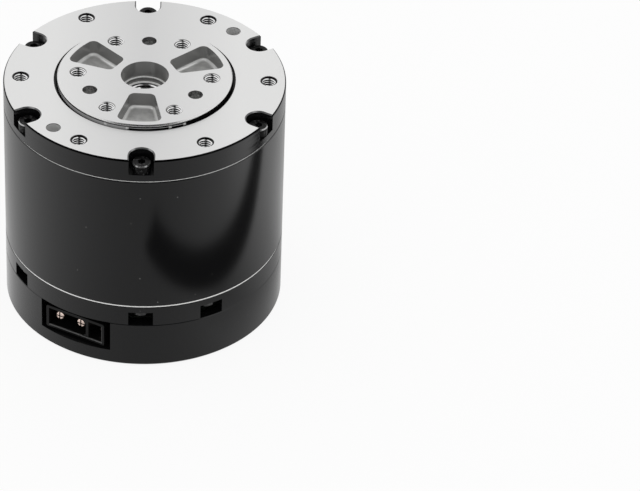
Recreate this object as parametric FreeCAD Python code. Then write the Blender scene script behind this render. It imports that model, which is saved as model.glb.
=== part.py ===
"""Geared joint actuator: a round black housing with a turning output flange, driven by an outrunner motor
through two planetary stages, with its driver board and power socket in the rear cover.

Millimetres. Origin at the centre of the rear face, +Z along the output axis towards the flange.
Azimuths are degrees about +Z from +X; the socket side faces roughly -Y.
"""
import FreeCAD
import Part

import math
import os

from FreeCAD import Vector

UP = Vector(0, 0, 1)
ORIGIN = Vector(0, 0, 0)

# Outside of the housing
body_radius = 28.5
rear_cover_height = 10.3
rear_housing_height = 4.7
motor_housing_height = 31.0
front_housing_height = 5.2
seam_chamfer = 0.22
plain_edge_break = 0.12
base_edge_radius = 0.5
top_edge_chamfer = 0.25

# Output flange
flange_proud = 0.9
flange_gap = 0.7
flange_edge_chamfer = 0.25
flange_hub_pin_wall = 0.4
output_rest_angle = -2.8
output_thread_edge_distance = 4.15
output_thread_count = 6
output_dowel_edge_distance = 5.4
output_dowel_count = 3
output_dowel_first_azimuth = 90.0
pocket_count = 3
pocket_first_azimuth = 30.0
pocket_depth = 3.5
pocket_inner_wall = 1.65
pocket_rim = 1.35
pocket_inner_half_width = 2.43
pocket_side_slope = 0.24
pocket_corner_radius = 1.3
pocket_floor_fillet = 0.7
pilot_radius = 4.85
pilot_depth = 3.65
pilot_step_radius = 4.5
pilot_step_depth = 1.0
centre_thread_minor_radius = 3.6
centre_thread_major_radius = 4.0
centre_thread_length = 4.4
centre_thread_lead_in = 0.15

# Threads and dowels
insert_outer_radius = 1.6
insert_bore_radius = 1.25
insert_countersink = 0.15
thread_depth = 4.2
dowel_radius = 1.5
dowel_depth = 4.2
housing_thread_edge_distance = 3.5
housing_thread_count = 6
housing_dowel_azimuths = (45.0, 225.0)

# Front screws and their notches
front_screw_edge_distance = 2.0
front_screw_first_azimuth = 30.0
front_screw_count = 6
notch_width = 5.0
notch_depth = 3.5
notch_edge_break = 0.25

# Small socket-head screws
screw_radius = 1.0
screw_head_radius = 1.9
screw_head_height = 2.0
screw_head_edge = 0.2
screw_head_lower_edge = 0.02
screw_socket_across_flats = 1.5
screw_socket_depth = 1.0
front_screw_length = 6.0
rear_screw_length = 5.0
screw_hole_clearance = 0.1

# Rear screws and their windows
rear_screw_edge_distance = 2.5
rear_screw_azimuths = (210.0, 270.0, 300.0, 30.0, 90.0, 120.0)
window_width = 5.0
window_height = 3.2
window_wall = 0.6
head_well_clearance = 0.2
rear_seat_thickness = 0.8

# Rear cover
cover_wall = 2.0
cover_floor = 2.0
cover_screw_edge_distance = 7.0
cover_screw_azimuths = (61.0, 181.0, 301.0)
cover_boss_radius = 2.4
cover_head_recess = 1.7
cover_screw_head_height = 1.3
cover_screw_engagement = 3.2

# Power and signal socket
socket_azimuth = 241.0
opening_width = 16.2
opening_bottom = 3.4
socket_face_setback = 1.2
socket_length = 13.0
socket_left = -7.0
socket_right = 6.65
socket_height = 5.3
socket_wall = 0.6
socket_corner_radius = 0.45
divider_left = 2.35
divider_right = 2.95
cavity_depth = 8.5
cavity_chamfer = 0.9
power_pin_radius = 1.0
power_pin_pitch = 5.0
power_pin_left = -4.5
power_pin_setback = 1.1
pin_slot_width = 0.28
pin_slot_depth = 4.0
pin_tip_round = 0.35
signal_pin_radius = 0.45
signal_pin_pitch = 2.0
signal_pin_offset = 4.45
signal_pin_setback = 2.6
signal_pin_tip_chamfer = 0.15
pin_tail = 1.2

# Driver board
board_thickness = 1.2
board_edge_clearance = 1.2
board_hole_clearance = 0.15
encoder_chip_size = 3.0
encoder_chip_height = 0.9
processor_size = 7.0
processor_height = 1.0
processor_offset = 12.0
transistor_width = 5.0
transistor_length = 6.0
transistor_height = 1.0
transistor_edge_distance = 8.3
transistor_azimuths = (333.0, 355.0, 18.0, 40.0, 83.0, 105.0)
capacitor_radius = 3.1
capacitor_height = 5.8
capacitor_edge = 0.4
capacitor_foot_edge = 0.05
capacitor_edge_distance = 10.3
capacitor_azimuths = (130.0, 156.0, 182.0)

# Bores of the motor housing
gearbox_wall = 3.9
motor_bore_step = 0.6
spigot_length = 5.0

# Rear housing web and stator boss
rear_housing_wall = 5.5
web_thickness = 2.2
web_shaft_hole_radius = 4.0
boss_radius = 7.5
boss_height = 9.0
boss_floor = 0.4

# Rotor bearings, 5 x 11 x 3
rotor_bearing_bore_radius = 2.5
rotor_bearing_outer_radius = 5.5
rotor_bearing_width = 3.0
rotor_bearing_ball_radius = 0.75
rotor_bearing_ball_count = 8
rotor_race_gap_half = 0.3

# Stator and windings
slot_count = 12
bell_clearance = 0.9
stator_bottom_gap = 1.8
stator_stack = 6.0
stator_yoke_thickness = 3.0
tooth_width = 2.6
shoe_thickness = 1.5
shoe_gap = 2.0
coil_yoke_gap = 0.5
coil_shoe_gap = 0.6
coil_thickness = 1.1
coil_overhang = 1.1
coil_corner_radius = 0.8
lead_radius = 0.7
lead_clearance = 0.3
lead_inset = 2.0
lead_azimuths = (15.0, 45.0, 75.0)

# Rotor
pole_count = 14
air_gap = 0.4
magnet_thickness = 1.5
magnet_gap_degrees = 1.6
magnet_height = 6.6
bell_wall = 1.7
bell_web = 1.2
bell_hub_radius = 5.0
bell_window_radius = 2.6
bell_window_rim = 5.3
bell_edge_chamfer = 0.6
bell_skirt = 1.0
bell_window_count = 6
shaft_step_radius = 1.5
encoder_magnet_radius = 3.0
encoder_magnet_height = 1.5
encoder_air_gap = 1.0
rotor_end_gap = 0.4

# Gear train
ring_rim = 2.795
pressure_angle = math.radians(25.0)
sun_teeth = 12
planet_teeth = 24
addendum_factor = 0.9
dedendum_factor = 1.15
tooth_thinning = 0.04
flank_points = 4
planet_count = 3
planet_pin_radius = 2.0
planet_bore_clearance = 0.06
carrier_margin = 0.9
shield_thickness = 0.8
shield_hole_radius = 4.2
stage_gap = 0.2
plate_gap = 0.35
stage1_face = 3.6
stage1_plate = 1.6
stage2_plate = 1.4
stage2_face = 5.6
stage1_first_azimuth = 30.0
stage2_first_azimuth = 90.0
pin_grip = 2.5
sun_hole_clearance = 0.6

# Output bearing, seal and rings
output_ball_radius = 1.5
output_ball_count = 22
output_bearing_width = 5.0
output_bearing_section = 6.0
output_race_gap_half = 0.9
ball_clearance = 0.03
cage_half_height = 1.0
cage_half_thickness = 0.5
cage_pocket_clearance = 0.1
preload_ring_height = 0.4
preload_ring_width = 1.5
bearing_lip = 2.65
seal_height = 1.0
seal_clearance = 0.1
seal_depth = 1.7
retaining_ring_height = 0.5
retaining_ring_depth = 0.6
retaining_ring_showing = 0.4
retaining_groove_depth = 0.35
retaining_ring_gap_start = 259.0
retaining_ring_gap_end = 298.0

# Heights worked out from the sizes above
z_rear_housing = rear_cover_height
z_motor_housing = z_rear_housing + rear_housing_height
z_front_housing = z_motor_housing + motor_housing_height
z_front_face = z_front_housing + front_housing_height
z_flange_face = z_front_face + flange_proud
z_board_bottom = z_rear_housing - board_thickness
z_web_bottom = z_motor_housing - web_thickness
z_boss_top = z_motor_housing + boss_height
z_spigot_bottom = z_front_housing - spigot_length
z_bearing_bottom = z_spigot_bottom + preload_ring_height
z_bearing_top = z_bearing_bottom + output_bearing_width
z_flange_hub_bottom = z_spigot_bottom - 0.5 * stage_gap
z_planet2_top = z_flange_hub_bottom - stage_gap
z_planet2_bottom = z_planet2_top - stage2_face
z_plate2_top = z_planet2_bottom - stage_gap
z_plate2_bottom = z_plate2_top - stage2_plate
z_plate1_top = z_plate2_bottom - plate_gap
z_plate1_bottom = z_plate1_top - stage1_plate
z_planet1_top = z_plate1_bottom - stage_gap
z_planet1_bottom = z_planet1_top - stage1_face
z_shield_top = z_planet1_bottom - 2 * plate_gap
z_shield_bottom = z_shield_top - shield_thickness
z_bell_top = z_shield_bottom - rotor_end_gap
z_bell_hub_bottom = z_boss_top + rotor_end_gap
z_encoder_magnet = z_rear_housing + encoder_chip_height + encoder_air_gap
z_shaft_bottom = z_encoder_magnet + encoder_magnet_height
z_rear_screw_seat = z_motor_housing - rear_seat_thickness
z_stator_bottom = z_motor_housing + stator_bottom_gap
z_socket = z_board_bottom - socket_height

# Radii and circles of the housing and the motor, worked out from the outside inwards
gearbox_bore_radius = body_radius - gearbox_wall
motor_bore_radius = gearbox_bore_radius - motor_bore_step
web_inner_radius = body_radius - rear_housing_wall
housing_thread_circle = 2 * (body_radius - housing_thread_edge_distance)
front_screw_circle = 2 * (body_radius - front_screw_edge_distance)
rear_screw_circle = 2 * (body_radius - rear_screw_edge_distance)
cover_screw_circle = 2 * (body_radius - cover_screw_edge_distance)
socket_face_distance = body_radius - socket_face_setback
board_radius = body_radius - cover_wall - board_edge_clearance
transistor_distance = board_radius - transistor_edge_distance
capacitor_distance = board_radius - capacitor_edge_distance
bell_inner_radius = motor_bore_radius - bell_clearance - bell_wall
bell_window_circle = 2 * (bell_inner_radius - bell_window_rim - bell_window_radius)
stator_radius = bell_inner_radius - magnet_thickness - air_gap
stator_yoke_radius = boss_radius + stator_yoke_thickness
coil_inner_reach = stator_yoke_radius + coil_yoke_gap
coil_outer_reach = stator_radius - shoe_thickness - coil_shoe_gap
lead_distance = coil_inner_reach + lead_inset
lead_hole_radius = lead_radius + lead_clearance

# Gear sizes worked out from the tooth counts and the bore
ring_teeth = sun_teeth + 2 * planet_teeth
module = (gearbox_bore_radius - ring_rim) / (ring_teeth / 2 + dedendum_factor)
planet_circle_radius = module * (sun_teeth + planet_teeth) / 2
sun_tip_radius = module * (sun_teeth / 2 + addendum_factor)
ring_outer_radius = gearbox_bore_radius
carrier_radius = planet_circle_radius + planet_pin_radius + carrier_margin

# Radii of the output, worked out from the planet pins outwards
flange_hub_radius = planet_circle_radius + planet_pin_radius + flange_hub_pin_wall
output_bearing_pitch_radius = flange_hub_radius + output_bearing_section / 2
output_bearing_outer_radius = flange_hub_radius + output_bearing_section
front_bore_radius = output_bearing_outer_radius - bearing_lip
flange_radius = front_bore_radius - flange_gap
retaining_ring_inner_radius = front_bore_radius - retaining_ring_showing
retaining_ring_outer_radius = front_bore_radius + retaining_groove_depth
output_thread_circle = 2 * (flange_radius - output_thread_edge_distance)
output_dowel_circle = 2 * (flange_radius - output_dowel_edge_distance)
pocket_inner_reach = pilot_radius + pocket_inner_wall
pocket_outer_radius = flange_radius - pocket_rim


def polar(radius, azimuth, z=0.0):
    """The point at a radius and an azimuth in degrees."""
    angle = math.radians(azimuth)
    return Vector(radius * math.cos(angle), radius * math.sin(angle), z)


def cylinder(radius, bottom, top, centre=ORIGIN):
    """An upright cylinder between two heights."""
    return Part.makeCylinder(radius, top - bottom, Vector(centre.x, centre.y, bottom), UP)


def tube(outer, inner, bottom, top):
    """An upright tube about the output axis."""
    return cylinder(outer, bottom, top).cut(cylinder(inner, bottom - 1, top + 1))


def lathe(points):
    """The solid turned from an outline of (radius, height) points."""
    corners = [Vector(r, 0, z) for r, z in points]
    face = Part.Face(Part.makePolygon(corners + corners[:1]))
    return face.revolve(ORIGIN, UP, 360)


def turned(shape, azimuth):
    """A copy turned about the output axis."""
    copy = shape.copy()
    copy.rotate(ORIGIN, UP, azimuth)
    return copy


def around(shape, azimuths):
    """Copies of a shape made at azimuth 0, one at each azimuth."""
    return [turned(shape, azimuth) for azimuth in azimuths]


def evenly(count, first=0.0):
    """Evenly spaced azimuths."""
    return [first + 360.0 * i / count for i in range(count)]


def holes(radius, bottom, top, distance, azimuths):
    """Upright cylinders at a distance from the axis, for drilling."""
    return around(cylinder(radius, bottom, top, Vector(distance, 0, 0)), azimuths)


def block(along, across, bottom, top, azimuth=0.0):
    """A box with its length along a radius: along and across are (low, high) pairs."""
    corner = Vector(along[0], across[0], bottom)
    box = Part.makeBox(along[1] - along[0], across[1] - across[0], top - bottom, corner)
    return turned(box, azimuth)


def chamfered_disc(radius, bottom, top, bottom_chamfer, top_chamfer):
    """A disc with its two outer edges chamfered."""
    return lathe([(0, bottom), (radius - bottom_chamfer, bottom), (radius, bottom + bottom_chamfer),
                  (radius, top - top_chamfer), (radius - top_chamfer, top), (0, top)])


def drill_point(radius, edge, top, centre):
    """The cone that breaks a hole's upper edge."""
    return Part.makeCone(radius, radius + edge, edge, Vector(centre.x, centre.y, top - edge), UP)


def solids_of(shapes):
    """Every solid in a list of shapes."""
    return [solid for shape in shapes for solid in shape.Solids]


def save(name, *shapes):
    """Write one node's solids to its own file."""
    solids = solids_of(shapes)
    whole = solids[0] if len(solids) == 1 else Part.makeCompound(solids)
    whole.exportStep(os.path.join("parts", name + ".step"))


# Gears

def involute(angle):
    return math.tan(angle) - angle


def flank(teeth, half_thickness, start, end):
    """(radius, half angle) along one flank, where half_thickness is half the tooth at the pitch circle."""
    pitch = module * teeth / 2
    base = pitch * math.cos(pressure_angle)
    first = max(start, base)
    points = []
    for i in range(flank_points):
        radius = first + (end - first) * i / (flank_points - 1)
        at_radius = math.acos(min(1.0, base / radius))
        half = half_thickness / pitch + involute(pressure_angle) - involute(at_radius)
        points.append((radius, half))
    return points


def toothed_outline(teeth, thinning, inward, outward, phase):
    """A closed outline with one bump per tooth, from inward to outward of the pitch circle."""
    pitch = module * teeth / 2
    low = pitch - inward
    half_thickness = math.pi * module / 4 - thinning / 2
    side = flank(teeth, half_thickness, low, pitch + outward)
    points = []
    for tooth in range(teeth):
        centre = math.radians(phase) + 2 * math.pi * tooth / teeth
        foot = [(low, side[0][1])] if side[0][0] > low + 1e-6 else []
        rising = [(r, centre - half) for r, half in foot + side]
        falling = [(r, centre + half) for r, half in reversed(foot + side)]
        points += [Vector(r * math.cos(a), r * math.sin(a), 0) for r, a in rising + falling]
    return Part.makePolygon(points + points[:1])


def gear(teeth, bottom, top, phase, bore, centre=ORIGIN):
    """A spur gear with a tooth centred at the phase angle."""
    outline = toothed_outline(teeth, tooth_thinning, dedendum_factor * module,
                              addendum_factor * module, phase)
    blank = Part.Face(outline).extrude(Vector(0, 0, top - bottom))
    blank.translate(Vector(0, 0, bottom))
    blank = blank.cut(cylinder(bore, bottom - 1, top + 1))
    blank.translate(centre)
    return blank


def ring_gear(bottom, top):
    """The fixed ring: the space between its teeth has an outward tooth's shape, and a space is at azimuth 3."""
    outline = toothed_outline(ring_teeth, -tooth_thinning, addendum_factor * module,
                              dedendum_factor * module, 180.0 / ring_teeth)
    inside = Part.Face(outline).extrude(Vector(0, 0, top - bottom))
    inside.translate(Vector(0, 0, bottom))
    return cylinder(ring_outer_radius, bottom, top).cut(inside)


def planet_phase(azimuth):
    """The turn that puts a planet at this azimuth in mesh with the ring."""
    ring_share = azimuth * ring_teeth / 360.0
    return azimuth - (ring_share - 0.5) * 360.0 / planet_teeth


def sun_phase(azimuth):
    """The turn that puts the sun in mesh with a planet at this azimuth."""
    planet_share = (azimuth + 180.0 - planet_phase(azimuth)) * planet_teeth / 360.0
    return azimuth - (0.5 - planet_share) * 360.0 / sun_teeth


def planet(bottom, top, azimuth):
    """A planet gear in place on its pin."""
    bore = planet_pin_radius + planet_bore_clearance
    centre = polar(planet_circle_radius, azimuth)
    return gear(planet_teeth, bottom, top, planet_phase(azimuth), bore, centre)


# Bearings

def race(outer, inner, pitch_radius, ball_radius, bottom, top):
    """A bearing ring with its groove."""
    groove = Part.makeTorus(pitch_radius, ball_radius, Vector(0, 0, (bottom + top) / 2), UP)
    return tube(outer, inner, bottom, top).cut(groove)


def balls(count, pitch_radius, ball_radius, height):
    """A ring of separate balls."""
    ball = Part.makeSphere(ball_radius, Vector(pitch_radius, 0, height))
    return around(ball, evenly(count))


def cage(count, pitch_radius, ball_radius, height, half_thickness, half_height):
    """The ring that spaces the balls, with a round pocket for each."""
    ring = tube(pitch_radius + half_thickness, pitch_radius - half_thickness,
                height - half_height, height + half_height)
    pockets = balls(count, pitch_radius, ball_radius + cage_pocket_clearance, height)
    return ring.cut(pockets)


# Fasteners

def socket_screw(seat, length, head_height=screw_head_height):
    """A socket-head screw on the output axis, its head above the seat and its shank below."""
    top = seat + head_height
    head = chamfered_disc(screw_head_radius, seat, top, screw_head_lower_edge, screw_head_edge)
    corner = screw_socket_across_flats / math.sqrt(3)
    corners = [polar(corner, azimuth, top - screw_socket_depth) for azimuth in evenly(6)]
    key = Part.Face(Part.makePolygon(corners + corners[:1])).extrude(Vector(0, 0, screw_socket_depth))
    return head.cut(key).fuse(cylinder(screw_radius, seat - length, seat)).removeSplitter()


def pointing_up(screw, seat):
    """The same screw turned over about its seat, so that its head is below."""
    copy = screw.copy()
    copy.rotate(Vector(0, 0, seat), Vector(1, 0, 0), 180)
    return copy


def set_out(screw, circle, azimuths):
    """Copies of a screw on a bolt circle."""
    moved = screw.copy()
    moved.translate(Vector(circle / 2, 0, 0))
    return around(moved, azimuths)


def thread_sleeves(circle, azimuths, face):
    """Sleeves that hold the threads of a bolt circle, just under a face."""
    top = face - insert_countersink
    sleeve = tube(insert_outer_radius, insert_bore_radius, face - thread_depth, top)
    return set_out(sleeve, circle, azimuths)


def insert_wells(circle, azimuths, face):
    """The holes for the thread sleeves, with their countersinks."""
    well = cylinder(insert_outer_radius, face - thread_depth, face + 1)
    sink = drill_point(insert_outer_radius, insert_countersink, face, ORIGIN)
    return set_out(well.fuse(sink), circle, azimuths)


def dowel_holes(circle, azimuths, face):
    """Blind dowel holes."""
    return set_out(cylinder(dowel_radius, face - dowel_depth, face + 1), circle, azimuths)


# Housing

def make_rear_cover():
    """The cup that closes the rear, open at its rim for the socket."""
    cup = lathe([(0, 0), (body_radius - base_edge_radius, 0), (body_radius, base_edge_radius),
                 (body_radius, z_rear_housing - plain_edge_break),
                 (body_radius - plain_edge_break, z_rear_housing),
                 (body_radius - cover_wall, z_rear_housing),
                 (body_radius - cover_wall, cover_floor), (0, cover_floor)])
    distance = cover_screw_circle / 2
    bosses = holes(cover_boss_radius, cover_floor, z_board_bottom, distance, cover_screw_azimuths)
    cup = cup.fuse(bosses)
    cuts = holes(screw_radius + screw_hole_clearance, -1, z_board_bottom + 1, distance,
                 cover_screw_azimuths)
    cuts += holes(screw_head_radius + head_well_clearance, -1, cover_head_recess, distance,
                  cover_screw_azimuths)
    half = opening_width / 2
    cuts.append(block((body_radius - 2 * cover_wall, body_radius + 1), (-half, half), opening_bottom,
                      z_rear_housing + 1, socket_azimuth))
    return cup.cut(cuts).removeSplitter()


def make_rear_housing():
    """The ring and web that carry the motor, with a window for each rear screw head."""
    ring = lathe([(web_shaft_hole_radius, z_web_bottom), (web_inner_radius, z_web_bottom),
                  (web_inner_radius, z_rear_housing),
                  (body_radius - plain_edge_break, z_rear_housing),
                  (body_radius, z_rear_housing + plain_edge_break),
                  (body_radius, z_motor_housing - seam_chamfer),
                  (body_radius - seam_chamfer, z_motor_housing), (boss_radius, z_motor_housing),
                  (boss_radius, z_boss_top), (rotor_bearing_outer_radius, z_boss_top),
                  (rotor_bearing_outer_radius, z_motor_housing + boss_floor),
                  (web_shaft_hole_radius, z_motor_housing + boss_floor)])
    distance = cover_screw_circle / 2
    posts = holes(cover_boss_radius, z_rear_housing, z_web_bottom + 0.5, distance,
                  cover_screw_azimuths)
    ring = ring.fuse(posts)
    cuts = holes(screw_radius, z_rear_housing - 1, z_rear_housing + cover_screw_engagement, distance,
                 cover_screw_azimuths)
    cuts += holes(lead_hole_radius, z_web_bottom - 1, z_motor_housing + 1, lead_distance, lead_azimuths)
    half = window_width / 2
    window_top = z_rear_housing + window_height
    well = screw_head_radius + head_well_clearance
    reach = (web_inner_radius + window_wall, body_radius + 1)
    for azimuth in rear_screw_azimuths:
        cuts.append(block(reach, (-half, half), z_rear_housing - 1, window_top, azimuth))
    cuts += holes(well, z_rear_housing, z_rear_screw_seat, rear_screw_circle / 2, rear_screw_azimuths)
    cuts += holes(screw_radius + screw_hole_clearance, z_rear_screw_seat - 1, z_motor_housing + 1,
                  rear_screw_circle / 2, rear_screw_azimuths)
    return ring.cut(cuts).removeSplitter()


def make_motor_housing():
    """The long middle tube, bored for the motor below and for the gearbox above."""
    shell = lathe([(motor_bore_radius, z_motor_housing),
                   (body_radius - seam_chamfer, z_motor_housing),
                   (body_radius, z_motor_housing + seam_chamfer),
                   (body_radius, z_front_housing - seam_chamfer),
                   (body_radius - seam_chamfer, z_front_housing),
                   (gearbox_bore_radius, z_front_housing), (gearbox_bore_radius, z_shield_bottom),
                   (motor_bore_radius, z_shield_bottom)])
    rear_end = z_rear_screw_seat + rear_screw_length
    front_end = z_front_face - notch_depth - front_screw_length
    cuts = holes(screw_radius, z_motor_housing - 1, rear_end, rear_screw_circle / 2,
                 rear_screw_azimuths)
    cuts += holes(screw_radius, front_end, z_front_housing + 1, front_screw_circle / 2,
                  evenly(front_screw_count, front_screw_first_azimuth))
    return shell.cut(cuts)


def notch(azimuth):
    """The open-sided well for one front screw head, with its upper edge broken."""
    distance = front_screw_circle / 2
    half = notch_width / 2
    floor = z_front_face - notch_depth
    centre = Vector(distance, 0, 0)
    well = cylinder(half, floor, z_front_face + 1, centre)
    well = well.fuse(block((distance, body_radius + 2), (-half, half), floor, z_front_face + 1))
    wide = half + notch_edge_break
    low = z_front_face - notch_edge_break
    cone = Part.makeCone(half, wide, notch_edge_break, Vector(distance, 0, low), UP)
    wedge_corners = [Vector(distance, -half, low), Vector(distance, half, low),
                     Vector(distance, wide, z_front_face), Vector(distance, -wide, z_front_face)]
    wedge = Part.Face(Part.makePolygon(wedge_corners + wedge_corners[:1]))
    wedge = wedge.extrude(Vector(body_radius + 2 - distance, 0, 0))
    return turned(well.fuse([cone, wedge]), azimuth)


def make_front_housing():
    """The end ring that others bolt to, with a spigot that holds the output bearing."""
    groove_top = z_front_face - retaining_ring_depth
    groove_bottom = groove_top - retaining_ring_height
    bearing_seat = output_bearing_outer_radius
    ring = lathe([(bearing_seat, z_spigot_bottom), (gearbox_bore_radius, z_spigot_bottom),
                  (gearbox_bore_radius, z_front_housing),
                  (body_radius - seam_chamfer, z_front_housing),
                  (body_radius, z_front_housing + seam_chamfer),
                  (body_radius, z_front_face - top_edge_chamfer),
                  (body_radius - top_edge_chamfer, z_front_face), (front_bore_radius, z_front_face),
                  (front_bore_radius, groove_top), (retaining_ring_outer_radius, groove_top),
                  (retaining_ring_outer_radius, groove_bottom), (front_bore_radius, groove_bottom),
                  (front_bore_radius, z_bearing_top), (bearing_seat, z_bearing_top)])
    azimuths = evenly(front_screw_count, front_screw_first_azimuth)
    cuts = [notch(azimuth) for azimuth in azimuths]
    cuts += holes(screw_radius + screw_hole_clearance, z_front_housing - 1, z_front_face,
                  front_screw_circle / 2, azimuths)
    cuts += insert_wells(housing_thread_circle, evenly(housing_thread_count), z_front_face)
    cuts += dowel_holes(housing_thread_circle, housing_dowel_azimuths, z_front_face)
    return ring.cut(cuts)


# Output flange

def pocket():
    """One rounded pocket of the flange, opening outward along +X, with a filleted floor."""
    def half_width(reach):
        return pocket_inner_half_width + pocket_side_slope * (reach - pocket_inner_reach)

    far = pocket_outer_radius + 1
    floor = z_flange_face - pocket_depth
    corners = [Vector(pocket_inner_reach, -half_width(pocket_inner_reach), floor),
               Vector(far, -half_width(far), floor), Vector(far, half_width(far), floor),
               Vector(pocket_inner_reach, half_width(pocket_inner_reach), floor)]
    wedge = Part.Face(Part.makePolygon(corners + corners[:1])).extrude(Vector(0, 0, pocket_depth))
    form = wedge.common(cylinder(pocket_outer_radius, floor, z_flange_face))
    uprights = [edge for edge in form.Edges
                if abs(edge.Vertexes[0].Z - edge.Vertexes[-1].Z) > pocket_depth / 2]
    form = form.makeFillet(pocket_corner_radius, uprights)
    floor_edges = [edge for edge in form.Edges
                   if all(abs(vertex.Z - floor) < 1e-6 for vertex in edge.Vertexes)]
    form = form.makeFillet(pocket_floor_fillet, floor_edges)
    lid = form.Faces[0]
    for face in form.Faces:
        if face.BoundBox.ZMin > lid.BoundBox.ZMin:
            lid = face
    return form.fuse(lid.extrude(UP))


def make_output_flange():
    """The turning face and its hub, which is also the upper plate of the second planet carrier."""
    pilot_floor = z_flange_face - pilot_depth
    step_floor = pilot_floor - pilot_step_depth
    thread_top = step_floor - centre_thread_lead_in
    thread_bottom = step_floor - centre_thread_length
    form = lathe([(0, z_flange_hub_bottom), (flange_hub_radius, z_flange_hub_bottom),
                  (flange_hub_radius, z_bearing_top), (flange_radius, z_bearing_top),
                  (flange_radius, z_flange_face - flange_edge_chamfer),
                  (flange_radius - flange_edge_chamfer, z_flange_face), (pilot_radius, z_flange_face),
                  (pilot_radius, pilot_floor), (pilot_step_radius, pilot_floor),
                  (pilot_step_radius, step_floor), (centre_thread_major_radius, step_floor),
                  (centre_thread_major_radius, thread_bottom), (0, thread_bottom)])
    cuts = around(pocket(), evenly(pocket_count, pocket_first_azimuth))
    cuts += insert_wells(output_thread_circle, evenly(output_thread_count), z_flange_face)
    cuts += dowel_holes(output_dowel_circle, evenly(output_dowel_count, output_dowel_first_azimuth),
                        z_flange_face)
    cuts += holes(planet_pin_radius, z_flange_hub_bottom - 1, z_flange_hub_bottom + pin_grip,
                  planet_circle_radius, evenly(planet_count, stage2_first_azimuth))
    flange = form.cut(cuts)
    sleeve = tube(centre_thread_major_radius, centre_thread_minor_radius, thread_bottom, thread_top)
    return turned(flange, output_rest_angle), sleeve


# Socket

def in_socket_frame(shape):
    """Turn a shape made along +X, with +Y to the right, to the socket's azimuth."""
    return turned(shape, socket_azimuth)


def make_socket_shell():
    """The moulded socket under the driver board, with a power and a signal cavity."""
    face = socket_face_distance
    top = z_socket + socket_height
    shell = block((face - socket_length, face), (socket_left, socket_right), z_socket, top)
    long_edges = [edge for edge in shell.Edges
                  if abs(edge.Vertexes[0].X - edge.Vertexes[1].X) > socket_length / 2]
    shell = shell.makeFillet(socket_corner_radius, long_edges)
    low, high = z_socket + socket_wall, top - socket_wall
    power = block((face - cavity_depth, face + 1), (socket_left + socket_wall, divider_left), low, high)
    keyed = [edge for edge in power.Edges
             if abs(edge.Vertexes[0].X - edge.Vertexes[1].X) > cavity_depth / 2
             and edge.Vertexes[0].Y > 0]
    power = power.makeChamfer(cavity_chamfer, keyed)
    signal = block((face - cavity_depth, face + 1), (divider_right, socket_right - socket_wall), low,
                   high)
    pins = [pin for pin, _ in power_pin_shapes() + signal_pin_shapes()]
    return in_socket_frame(shell.cut([power, signal] + pins))


def lying_pin(radius, start, end, offset, height):
    """A plain pin along +X."""
    return Part.makeCylinder(radius, end - start, Vector(start, offset, height), Vector(1, 0, 0))


def power_pin_shapes():
    """Each power pin as (plain body, body with its round tip split in four)."""
    back = socket_face_distance - socket_length - pin_tail
    tip = socket_face_distance - power_pin_setback
    height = z_socket + socket_height / 2
    shapes = []
    for offset in (power_pin_left, power_pin_left + power_pin_pitch):
        plain = lying_pin(power_pin_radius, back, tip, offset, height)
        rim = [edge for edge in plain.Edges
               if len(edge.Vertexes) == 1 and edge.Vertexes[0].X > tip - 0.1]
        nose = plain.makeFillet(pin_tip_round, rim)
        half = pin_slot_width / 2
        reach = (tip - pin_slot_depth, tip + 1)
        slots = [block(reach, (offset - 2, offset + 2), height - half, height + half),
                 block(reach, (offset - half, offset + half), height - 2, height + 2)]
        shapes.append((plain, nose.cut(slots)))
    return shapes


def signal_pin_shapes():
    """Each signal pin as (plain body, body with a chamfered tip)."""
    back = socket_face_distance - socket_length - pin_tail
    tip = socket_face_distance - signal_pin_setback
    middle = z_socket + socket_height / 2
    shapes = []
    for height in (middle - signal_pin_pitch / 2, middle + signal_pin_pitch / 2):
        plain = lying_pin(signal_pin_radius, back, tip, signal_pin_offset, height)
        rim = [edge for edge in plain.Edges
               if len(edge.Vertexes) == 1 and edge.Vertexes[0].X > tip - 0.1]
        shapes.append((plain, plain.makeChamfer(signal_pin_tip_chamfer, rim)))
    return shapes


# Driver board

def make_board():
    """The round driver board, held between the cover's bosses and the rear housing."""
    board = cylinder(board_radius, z_board_bottom, z_rear_housing)
    clear = screw_radius + board_hole_clearance
    return board.cut(holes(clear, z_board_bottom - 1, z_rear_housing + 1, cover_screw_circle / 2,
                           cover_screw_azimuths))


def chip(size, height, top_side, distance, azimuth, length=None):
    """A square or oblong part on one side of the board."""
    length = length or size
    bottom = z_rear_housing if top_side else z_board_bottom - height
    along = (distance - length / 2, distance + length / 2)
    return block(along, (-size / 2, size / 2), bottom, bottom + height, azimuth)


def capacitor():
    """A can capacitor that hangs under the board."""
    bottom = z_board_bottom - capacitor_height
    can = chamfered_disc(capacitor_radius, bottom, z_board_bottom, capacitor_edge, capacitor_foot_edge)
    can.translate(Vector(capacitor_distance, 0, 0))
    return can


# Motor

def make_stator_core():
    """The toothed iron core."""
    bottom, top = z_stator_bottom, z_stator_bottom + stator_stack
    yoke = tube(stator_yoke_radius, boss_radius, bottom, top)
    half = tooth_width / 2
    tooth = block((stator_yoke_radius - 0.5, stator_radius - shoe_thickness / 2), (-half, half), bottom,
                  top)
    shoes = tube(stator_radius, stator_radius - shoe_thickness, bottom, top)
    half_gap = shoe_gap / 2
    gap = block((stator_radius - shoe_thickness - 1, stator_radius + 1), (-half_gap, half_gap),
                bottom - 1, top + 1)
    shoes = shoes.cut(around(gap, evenly(slot_count, 180.0 / slot_count)))
    return yoke.fuse(around(tooth, evenly(slot_count)) + [shoes]).removeSplitter()


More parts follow.
